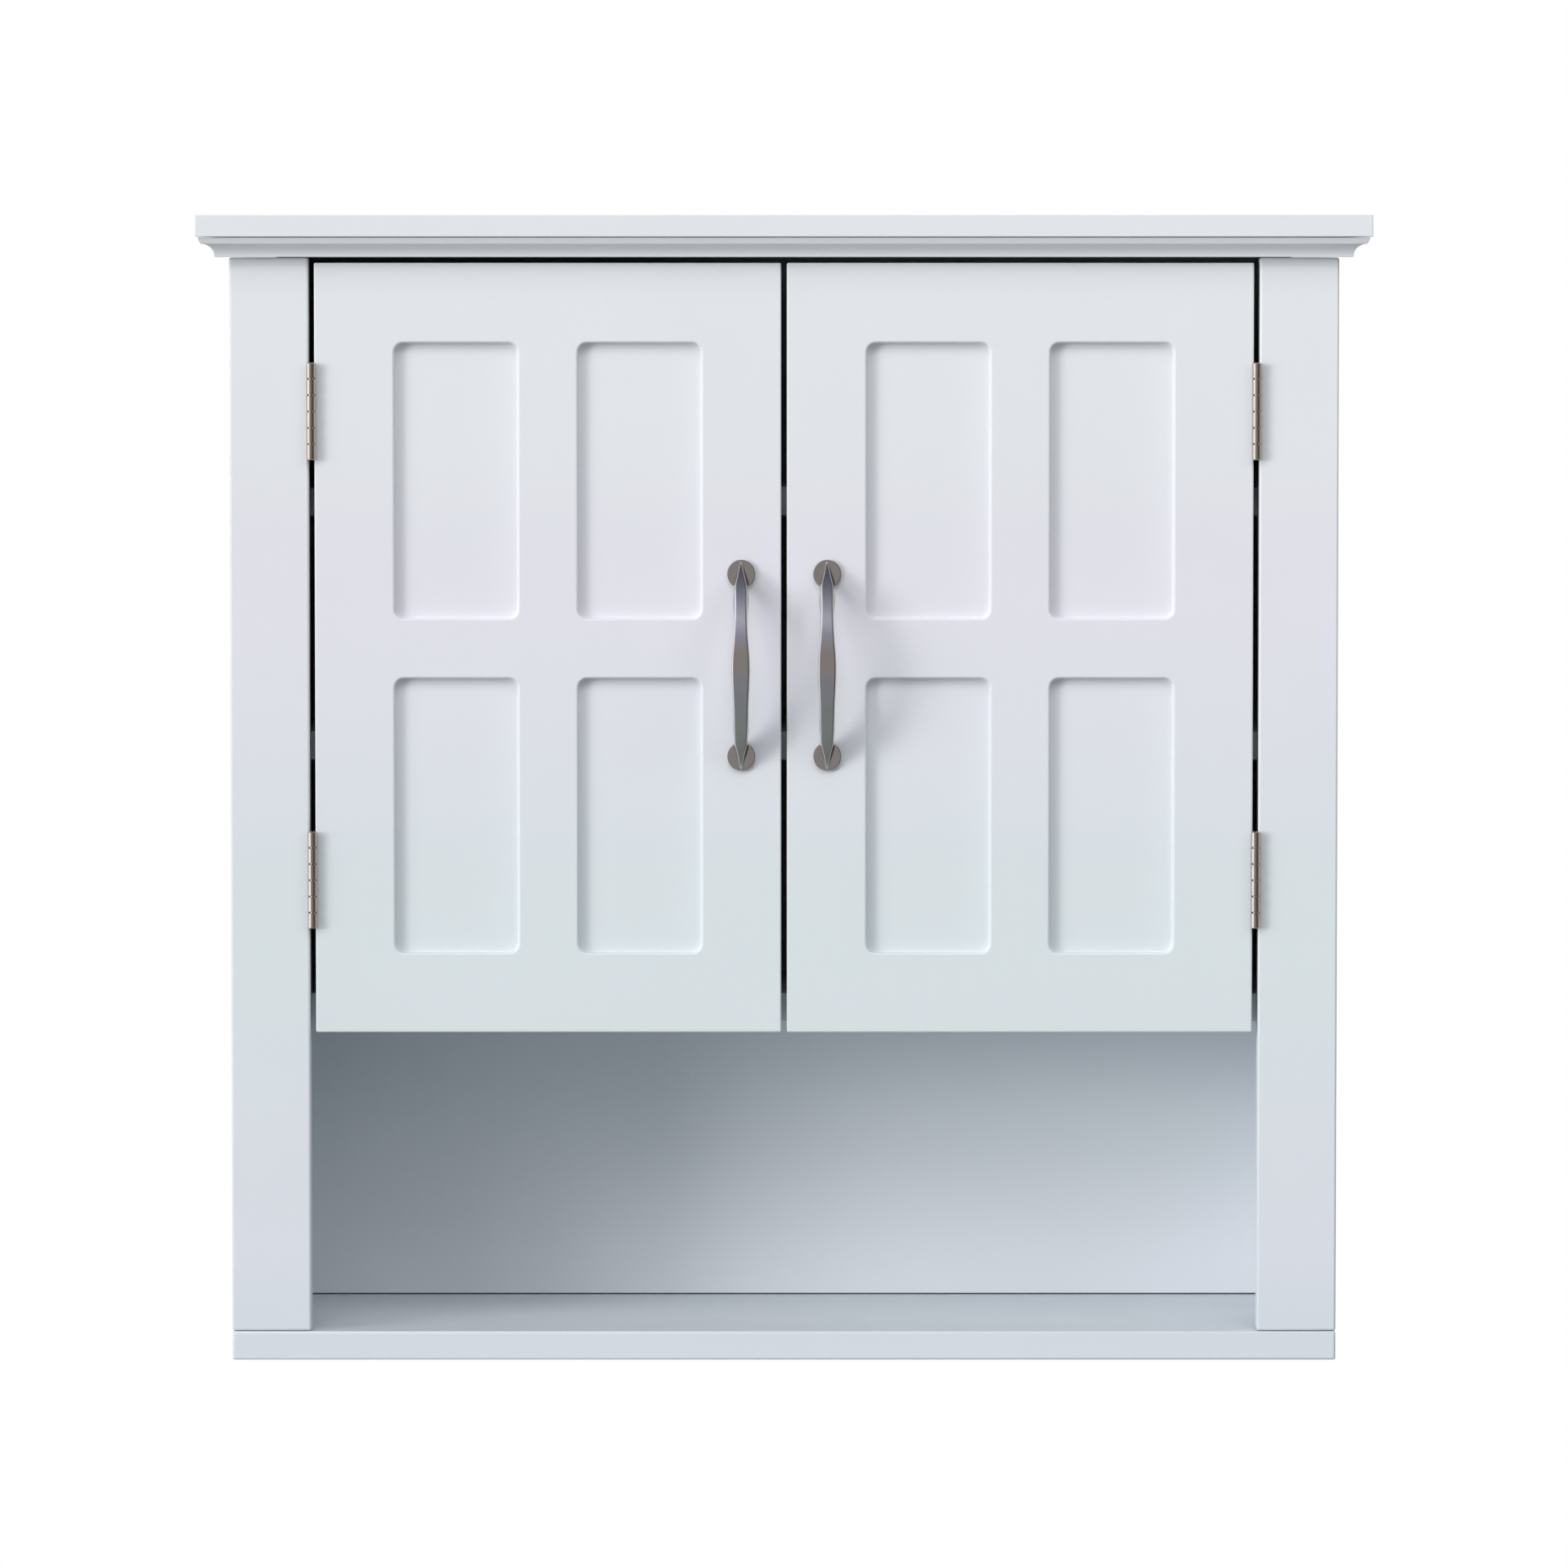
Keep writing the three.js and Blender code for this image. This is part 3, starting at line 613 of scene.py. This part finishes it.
def bow_mesh():
    """The bow of a pull, with its sections closer together towards the feet."""
    bm = bmesh.new()
    heights = [math.sin((i / BOW_RINGS - 0.5) * math.pi) for i in range(BOW_RINGS + 1)]
    rings = [[bm.verts.new(point) for point in bow_ring(height)] for height in heights]
    count = len(rings[0])
    for lower, upper in zip(rings, rings[1:]):
        for i in range(count):
            j = (i + 1) % count
            bm.faces.new((lower[i], lower[j], upper[j], upper[i])).smooth = True
    bm.faces.new(rings[0])
    bm.faces.new(rings[-1])
    return to_mesh(bm)


def foot_mesh():
    """A round foot about +Z, a little clear of the door at its underside."""
    under = 0.3
    top = FOOT_T + FOOT_CROWN
    arc = [(FOOT_R - FOOT_RIM + FOOT_RIM * math.sin(math.radians(a)),
            top - FOOT_RIM + FOOT_RIM * math.cos(math.radians(a))) for a in (90, 67, 45, 22, 0)]
    return lathe([(0, under), (FOOT_R - 0.1, under), (FOOT_R, under + 0.2), *arc,
                  (FOOT_R - 2 * FOOT_RIM, top), (0, top)], 64)


def pull_mesh():
    """A pull about the middle between its feet, on the door's face at Y = 0."""
    facing_out = Matrix.Rotation(math.pi / 2, 4, "X")
    feet = [moved(foot_mesh(), Matrix.Translation((0, 0, end * FEET_APART / 2 * MM)) @ facing_out)
            for end in (-1, 1)]
    return boolean(bow_mesh(), feet, "UNION")


for word in SIDES:
    low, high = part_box(f"handle_{word}")
    pull = moved(pull_mesh(), Matrix.Translation(middle_at(low, high, FRONT)))
    add_piece(f"handle_{word}_fine", pull, DOOR_BODY[word], NICKEL, [f"handle_{word}"])


# ---------------------------------------------------------------- screws

def cross_recess(size, depth):
    """The tool that cuts a cross recess downwards from the height 0."""
    half_length, half_width = size / 2 * MM, size / 9 * MM
    arms = []
    for turn in (0, 90):
        bm = box_bmesh((-half_length, -half_width, -depth * MM), (half_length, half_width, 1 * MM))
        arms.append(moved(to_mesh(bm), Matrix.Rotation(math.radians(turn), 4, "Z")))
    return boolean(arms[0], arms[1:], "UNION")


PAN_HEIGHT = 2


def screw_mesh(profile, head_r):
    """A turned screw whose head points to +Z, with a cross recess in proportion to the head."""
    top = max(height for _, height in profile)
    recess = moved(cross_recess(head_r * 1.15, head_r * 0.45), Matrix.Translation((0, 0, top * MM)))
    return boolean(lathe(profile, 24), [recess], "DIFFERENCE")


def flat_screw(head_r, shank_r, length):
    """Countersunk screw, its head's face at the height 0."""
    slope = head_r - shank_r
    point = [(0, -length), (shank_r * 0.3, -length), (shank_r, -length + 2)]
    head = [(shank_r, -slope), (head_r, -0.2), (head_r - 0.1, 0), (0, 0)]
    return screw_mesh(point + head, head_r)


def pan_screw(head_r, shank_r, length):
    """Pan-head screw, its head's underside at the height 0."""
    shank = [(0, -length), (shank_r * 0.8, -length), (shank_r, -length + 0.6), (shank_r, 0)]
    head = [(head_r, 0), (head_r, 0.9), (head_r - 0.35, 1.5), (head_r - 1.1, 1.9), (0, PAN_HEIGHT)]
    return screw_mesh(shank + head, head_r)


# Head radius, shank radius and length, in mm.
HINGE_SCREW = flat_screw(2.4, 1.2, 8)
HANGER_SCREW = flat_screw(3.1, 1.4, 10.4)
PULL_SCREW = pan_screw(3.9, 1.9, 20)
CATCH_SCREW = pan_screw(2.4, 1.2, 20)
PLATE_SCREW = flat_screw(2.2, 1, 8)
TO_BACK = facing((0, 1, 0))

for word, side in SIDES.items():
    for level in ("lower", "upper"):
        node = f"handle_screw_{word}_{level}"
        low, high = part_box(node)
        seat = Matrix.Translation(middle_at(low, high, high.y - PAN_HEIGHT * MM))
        add_piece(f"{node}_fine", moved(PULL_SCREW, seat @ TO_BACK), DOOR_BODY[word], ZINC,
                  [node])
        node = f"hanger_screw_{word}_{level}"
        low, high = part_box(node)
        seat = Matrix.Translation(middle_at(low, high, 0))
        add_piece(f"{node}_fine", moved(HANGER_SCREW, seat @ TO_BACK), CARCASS, ZINC, [node])


# ---------------------------------------------------------------- hinges

# In mm, from a hinge's axis.
KNUCKLES = 6                   # of both leaves together
SEAM = 0.3                     # a knuckle is this much short at each end
BARREL_R = 2.5
BARREL_EDGE = 0.25
BORE_R = 1.3
PIN_R = 1.2
LEAF_NEAR, LEAF_FAR = 0.25, 1.25
LEAF_ROOT = 2.9                # from here back the leaf is one plate, without gaps for knuckles
LEAF_BACK = 16.5
LEAF_ROUND = 2.2
TAB_START = 1.45               # inside the barrel, where the tab of a knuckle starts
TAB_PLAY = 0.1                 # a tab is this much shorter than its knuckle at each end
LEAF_SCREWS = (-15.5, 15.5)    # from the hinge's middle height
SCREW_DEPTH = 9.8
SCREW_FACE = 0.28              # the screws lie a little lower than the leaf's face


def knuckle_mesh(low, high):
    """One knuckle about +Z, between two heights in mm."""
    length = high - low
    lower_end = [(0, 0), (BARREL_R - BARREL_EDGE, 0), (BARREL_R, BARREL_EDGE)]
    upper_end = [(radius, length - up) for radius, up in reversed(lower_end)]
    return moved(lathe(lower_end + upper_end, 40), Matrix.Translation((0, 0, low * MM)))


def countersink_mesh():
    """The tool that cuts a screw hole, with the leaf's face at the height 0."""
    hole_r, sink_r = 1.3, 2.5
    return lathe([(0, -2), (hole_r, -2), (hole_r, hole_r - sink_r), (sink_r, 0), (sink_r, 1), (0, 1)], 24)


def leaf_mesh(outward, first_knuckle, height):
    """A hinge leaf around an axis at X = Y = 0 and from Z = 0 up. It lies on the outward side."""
    x0, x1 = sorted((outward * LEAF_NEAR * MM, outward * LEAF_FAR * MM))
    back = LEAF_BACK * MM
    root = LEAF_ROOT * MM
    top = height * MM
    rounded = rounded_rectangle(0, back, 0, top, LEAF_ROUND * MM)
    outline = [(root, 0), *[(y, z) for y, z in rounded if y > back / 2], (root, top)]
    plate = to_mesh(extrude_outline(outline, x0, x1, 0))
    pitch = height / KNUCKLES
    barrels = []
    for i in range(first_knuckle, KNUCKLES, 2):
        low, high = i * pitch + SEAM, (i + 1) * pitch - SEAM
        barrels.append(knuckle_mesh(low, high))
        tab = box_bmesh((x0, TAB_START * MM, (low + TAB_PLAY) * MM),
                        (x1, root + 0.5 * MM, (high - TAB_PLAY) * MM))
        plate = boolean(plate, [to_mesh(tab)], "UNION")
    leaf = boolean(plate, barrels, "UNION")
    face = x0 if outward > 0 else x1
    turn = facing((-outward, 0, 0))
    cuts = [lathe([(0, -2), (BORE_R, -2), (BORE_R, height + 2), (0, height + 2)], 32)]
    for up in LEAF_SCREWS:
        spot = Vector((face, SCREW_DEPTH * MM, (height / 2 + up) * MM))
        cuts.append(moved(countersink_mesh(), Matrix.Translation(spot) @ turn))
    return boolean(leaf, cuts, "DIFFERENCE")


def add_hinge(word, side, level):
    """Both leaves of a hinge with their screws, and its pin."""
    name = f"hinge_{level}_{word}"
    low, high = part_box(f"{name}_pin")
    height = (high.z - low.z) / MM
    axis = Vector(((low.x + high.x) / 2, (low.y + high.y) / 2, low.z))
    place = Matrix.Translation(axis)
    leaves = (("frame_leaf", side, 1, CARCASS), ("door_leaf", -side, 0, DOOR_BODY[word]))
    for kind, outward, first, body in leaves:
        mesh = moved(leaf_mesh(outward, first, height), place)
        for polygon in mesh.polygons:
            polygon.use_smooth = max(abs(c) for c in polygon.normal) < ALIGNED
        add_piece(f"{name}_{kind}_fine", mesh, body, HINGE_NICKEL, [f"{name}_{kind}"])
        for row, up in zip(("low", "high"), LEAF_SCREWS):
            head = axis + Vector((outward * SCREW_FACE * MM, SCREW_DEPTH * MM, (height / 2 + up) * MM))
            screw = moved(HINGE_SCREW, Matrix.Translation(head) @ facing((-outward, 0, 0)))
            add_piece(f"{name}_{kind}_screw_{row}", screw, body, HINGE_NICKEL)
    pin_end = [(0, 0.02), (0.7, 0.05), (PIN_R, 0.35)]
    pin = lathe(pin_end + [(radius, height - up) for radius, up in reversed(pin_end)], 32)
    add_piece(f"{name}_pin_fine", moved(pin, place), CARCASS, HINGE_NICKEL, [f"{name}_pin"])


for word, side in SIDES.items():
    for level in ("lower", "upper"):
        add_hinge(word, side, level)


# ---------------------------------------------------------------- shelf pins

SHELF_PIN_R = 2.4
SHELF_PIN_COLLAR_R = 4
SHELF_PIN_IN = 7.5             # length in the panel
SHELF_PIN_OUT = 9              # and out of it
COLLAR_NEAR, COLLAR_FAR = 0.3, 1.5


def shelf_pin_mesh():
    """A pin about +Z, in mm, with the panel's face at the height 0."""
    pin_r, collar_r = SHELF_PIN_R, SHELF_PIN_COLLAR_R
    in_panel = [(0, -SHELF_PIN_IN), (pin_r - 0.5, -SHELF_PIN_IN), (pin_r, 0.5 - SHELF_PIN_IN),
                (pin_r, COLLAR_NEAR)]
    collar = [(collar_r - 0.2, COLLAR_NEAR), (collar_r, COLLAR_NEAR + 0.2), (collar_r, COLLAR_FAR - 0.2),
              (collar_r - 0.2, COLLAR_FAR)]
    under_shelf = [(pin_r, COLLAR_FAR), (pin_r, SHELF_PIN_OUT - 0.7), (pin_r - 0.25, SHELF_PIN_OUT - 0.2),
                   (pin_r - 0.9, SHELF_PIN_OUT), (0, SHELF_PIN_OUT)]
    return lathe(in_panel + collar + under_shelf, 28)


for level in ("lower", "upper"):
    for word, side in SIDES.items():
        inner_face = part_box(f"side_panel_{word}")[0 if side > 0 else 1].x
        for row in ("front", "back"):
            node = f"shelf_pin_{level}_{word}_{row}"
            low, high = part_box(node)
            spot = Vector((inner_face, (low.y + high.y) / 2, (low.z + high.z) / 2))
            pin = moved(shelf_pin_mesh(), Matrix.Translation(spot) @ facing((-side, 0, 0)))
            add_piece(f"{node}_fine", pin, CARCASS, ZINC, [node])


# ---------------------------------------------------------------- catches, bumpers and hangers

CASE_EDGE = 1.2 * MM
CATCH_SCREWS_APART = 34 * MM
MAGNET_EDGE = 0.4 * MM
MAGNET_GAP = 0.3 * MM          # around the magnet, in the mouth of its case
PLATE_CORNER = 2.5 * MM
PLATE_EDGE = 0.25 * MM
PLATE_SCREWS_APART = 24 * MM
PLATE_SCREW_PROUD = 0.12 * MM
BUMPER_R = 4                   # in mm, as the two below
BUMPER_RIM = 0.12              # height of the bumper's straight edge, under its dome
BUMPER_H = 1.4
CAP_DEPTHS = {"front": 140 * MM, "back": 50 * MM}      # from the wall
CAP_INSET = 34 * MM            # from the ends of the cabinet's floor


def add_catch(word, side):
    """A catch's case with its mouth, two screws and magnet."""
    low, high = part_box(f"catch_case_{word}")
    magnet_low, magnet_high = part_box(f"catch_magnet_{word}")
    gap = MAGNET_GAP
    mouth = box_bmesh(magnet_low - Vector((gap, 2 * gap, gap)), magnet_high + Vector((gap, gap, gap)))
    case = boolean(to_mesh(board_bmesh(low, high, CASE_EDGE)), [to_mesh(mouth)], "DIFFERENCE")
    add_piece(f"catch_case_{word}_fine", case, CARCASS, PLASTIC, [f"catch_case_{word}"])
    for place, towards in (("inner", -side), ("outer", side)):
        aside = towards * CATCH_SCREWS_APART / 2
        seat = Vector(((low.x + high.x) / 2 + aside, (low.y + high.y) / 2, high.z))
        screw = moved(CATCH_SCREW, Matrix.Translation(seat))
        add_piece(f"catch_screw_{word}_{place}", screw, CARCASS, ZINC)
    magnet = to_mesh(board_bmesh(magnet_low, magnet_high, MAGNET_EDGE))
    add_piece(f"catch_magnet_{word}_fine", magnet, CARCASS, FERRITE, [f"catch_magnet_{word}"])


def add_strike_plate(word, side):
    """The steel plate on the back of a door, with its two screws standing just proud."""
    node = f"strike_plate_{word}"
    low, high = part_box(node)
    outline = rounded_rectangle(low.x, high.x, low.z, high.z, PLATE_CORNER)
    plate = extrude_outline(outline, low.y, high.y, 1)
    ease(plate, sharp_edges(plate), PLATE_EDGE, 2)
    flatten_aligned(plate)
    add_piece(f"{node}_fine", to_mesh(plate), DOOR_BODY[word], ZINC, [node])
    for place, towards in (("inner", -side), ("outer", side)):
        aside = Vector((towards * PLATE_SCREWS_APART / 2, PLATE_SCREW_PROUD, 0))
        seat = middle_at(low, high, high.y) + aside
        screw = moved(PLATE_SCREW, Matrix.Translation(seat) @ TO_BACK)
        add_piece(f"strike_screw_{word}_{place}", screw, DOOR_BODY[word], ZINC)


def bumper_mesh():
    """A soft dome about +Z, in mm."""
    dome = [(0, 0), (BUMPER_R - 0.1, 0), (BUMPER_R, BUMPER_RIM)]
    for degrees in range(15, 90, 15):
        angle = math.radians(degrees)
        dome.append((BUMPER_R * math.cos(angle), BUMPER_RIM + (BUMPER_H - BUMPER_RIM) * math.sin(angle)))
    return lathe([*dome, (0, BUMPER_H)], 32)


def add_bumpers(word):
    """The soft dots that meet the edge of the cabinet's floor."""
    for place in ("inner", "outer"):
        node = f"bumper_{word}_{place}"
        low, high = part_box(node)
        bumper = moved(bumper_mesh(), Matrix.Translation(middle_at(low, high, low.y)) @ TO_BACK)
        add_piece(f"{node}_fine", bumper, DOOR_BODY[word], RUBBER, [node])


def joint_cap_mesh():
    """A cover cap about +Z, in mm, its stem below the height 0."""
    stem_r, cap_r, rim, crown = 6, 8.5, 0.5, 1.3
    stem = [(0, -2), (stem_r, -2), (stem_r, 0)]
    return lathe([*stem, (cap_r, 0), (cap_r, rim), (cap_r - 0.4, 1), (0, crown)], 40)


def add_joint_caps(word, side):
    """Caps over the joints on the underside of the cabinet's floor."""
    low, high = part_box("cabinet_floor")
    for row, depth in CAP_DEPTHS.items():
        seat = Vector((side * (high.x - CAP_INSET), -depth, low.z))
        cap = moved(joint_cap_mesh(), Matrix.Translation(seat) @ facing((0, 0, -1)))
        add_piece(f"joint_cap_{word}_{row}", cap, CARCASS, PLASTIC)


for word, side in SIDES.items():
    add_catch(word, side)
    add_strike_plate(word, side)
    add_bumpers(word)
    repaint(f"hanger_plate_{word}", ZINC)
    add_joint_caps(word, side)


# ---------------------------------------------------------------- floor, light and camera

FLOOR_HALF = 1.0               # half of the floor's side
FLOOR_FORWARD = 0.5            # from the wall to the floor's middle
FLOOR_DROP = 1.35              # the cabinet's underside is this high above the floor
# Softboxes, far away: (name, degrees to the left of the camera, degrees up, strength, degrees across).
SOFTBOXES = [
    ("overhead", 0, 50, 0.92, 32),
    ("key_low", 55, 3, 0.65, 16),
    ("key_middle", 55, 10, 0.40, 16),
    ("key_high", 45, 25, 0.36, 16),
    ("left", 65, 3, 0.32, 16),
    ("front_left", 40, 25, 0.40, 32),
    ("right", -50, 25, 0.39, 32),
]
FILL = 0.276
FILL_COLOUR = (0.94, 1.0, 1.07, 1)
# What metal reflects: (0 straight down to 1 straight up, colour), and (0 left to 1 right, factor on it).
STUDIO_BY_HEIGHT = [
    (0, (0.25, 0.27, 0.27)), (0.05, (0.32, 0.37, 0.37)), (0.19, (0.33, 0.36, 0.40)),
    (0.36, (0.37, 0.37, 0.44)), (0.47, (0.41, 0.385, 0.37)), (0.62, (0.42, 0.385, 0.37)),
    (0.76, (0.45, 0.45, 0.58)), (0.855, (0.72, 0.77, 0.90)), (0.93, (0.40, 0.42, 0.53)),
    (0.97, (0.17, 0.18, 0.24)), (1, (0.12, 0.12, 0.16)),
]
STUDIO_ACROSS = [(0, 4.8), (0.12, 4.8), (0.2, 1.25), (0.48, 0.95), (0.6, 0.6), (0.72, 0.3), (0.96, 0.35),
                 (1, 1.8)]
CAMERA_DISTANCE = 4.682        # from the doors' faces
CAMERA_HEIGHT = 0.578          # above the cabinet's underside, level with the crown
CAMERA_TILT = 3.376            # degrees down, which centres the cabinet
LENS = 206.6


def add_floor():
    """A pale floor, matt and out of the way of the metal's reflections."""
    bm = bmesh.new()
    bmesh.ops.create_grid(bm, x_segments=8, y_segments=8, size=FLOOR_HALF)
    bmesh.ops.translate(bm, verts=bm.verts, vec=(0, -FLOOR_FORWARD, UNDERSIDE - FLOOR_DROP))
    floor = bpy.data.objects.new("floor", to_mesh(bm, "floor"))
    shader = Shader("pale_floor", Roughness=0.8)
    tone = shader.ramp(shader.noise(2, 3), [(0.3, linear(236, 237, 238)), (0.7, linear(242, 243, 244))])
    shader.link(tone, shader.bsdf.inputs["Base Color"])
    floor.data.materials.append(shader.material)
    bpy.context.scene.collection.objects.link(floor)
    floor.visible_glossy = False


def add_softbox(name, left, up, strength, size):
    """A distant soft lamp. It lights the object but isn't mirrored in its metal."""
    light = bpy.data.lights.new(name, "SUN")
    light.energy = strength
    light.angle = math.radians(size)
    lamp = bpy.data.objects.new(name, light)
    lamp.rotation_euler = (math.radians(90 - up), 0, math.radians(-left))
    lamp.visible_glossy = False
    bpy.context.scene.collection.objects.link(lamp)


def add_world():
    """White behind the object, a cool even fill for its shade, and soft studio tones for its metal."""
    world = bpy.data.worlds.new("studio")
    world.use_nodes = True
    tree = world.node_tree
    tree.nodes.clear()
    direction = tree.nodes.new("ShaderNodeTexCoord").outputs["Generated"]
    split = tree.nodes.new("ShaderNodeSeparateXYZ")
    tree.links.new(direction, split.inputs["Vector"])
    paths = tree.nodes.new("ShaderNodeLightPath")

    def background(colour=(1, 1, 1, 1), strength=1.0):
        node = tree.nodes.new("ShaderNodeBackground")
        node.inputs["Color"].default_value = colour
        node.inputs["Strength"].default_value = strength
        return node

    def tones_along(axis, stops):
        """Colours by direction, from -1 to 1 on one axis of the world."""
        reach = tree.nodes.new("ShaderNodeMapRange")
        reach.inputs["From Min"].default_value = -1
        tree.links.new(split.outputs[axis], reach.inputs["Value"])
        ramp = tree.nodes.new("ShaderNodeValToRGB")
        fill_ramp(ramp, stops)
        tree.links.new(reach.outputs["Result"], ramp.inputs["Fac"])
        return ramp.outputs["Color"]

    def choose(test, if_false, if_true):
        node = tree.nodes.new("ShaderNodeMixShader")
        tree.links.new(paths.outputs[test], node.inputs["Fac"])
        tree.links.new(if_false, node.inputs[1])
        tree.links.new(if_true, node.inputs[2])
        return node.outputs["Shader"]

    fill = background(FILL_COLOUR, FILL).outputs["Background"]
    studio = background()
    colours = [(place, (*colour, 1)) for place, colour in STUDIO_BY_HEIGHT]
    strengths = [(place, (strength, strength, strength, 1)) for place, strength in STUDIO_ACROSS]
    tree.links.new(tones_along("Z", colours), studio.inputs["Color"])
    tree.links.new(tones_along("X", strengths), studio.inputs["Strength"])
    reflected = studio.outputs["Background"]
    white = background().outputs["Background"]
    surface = choose("Is Camera Ray", choose("Is Glossy Ray", fill, reflected), white)
    output = tree.nodes.new("ShaderNodeOutputWorld")
    tree.links.new(surface, output.inputs["Surface"])
    bpy.context.scene.world = world


def add_camera():
    data = bpy.data.cameras.new("camera")
    data.lens = LENS
    camera = bpy.data.objects.new("camera", data)
    camera.location = (0, FRONT - CAMERA_DISTANCE, UNDERSIDE + CAMERA_HEIGHT)
    camera.rotation_euler = (math.radians(90 - CAMERA_TILT), 0, 0)
    bpy.context.scene.collection.objects.link(camera)
    bpy.context.scene.camera = camera


add_floor()
for softbox in SOFTBOXES:
    add_softbox(*softbox)
add_world()
add_camera()
bpy.context.scene.view_settings.view_transform = "Standard"
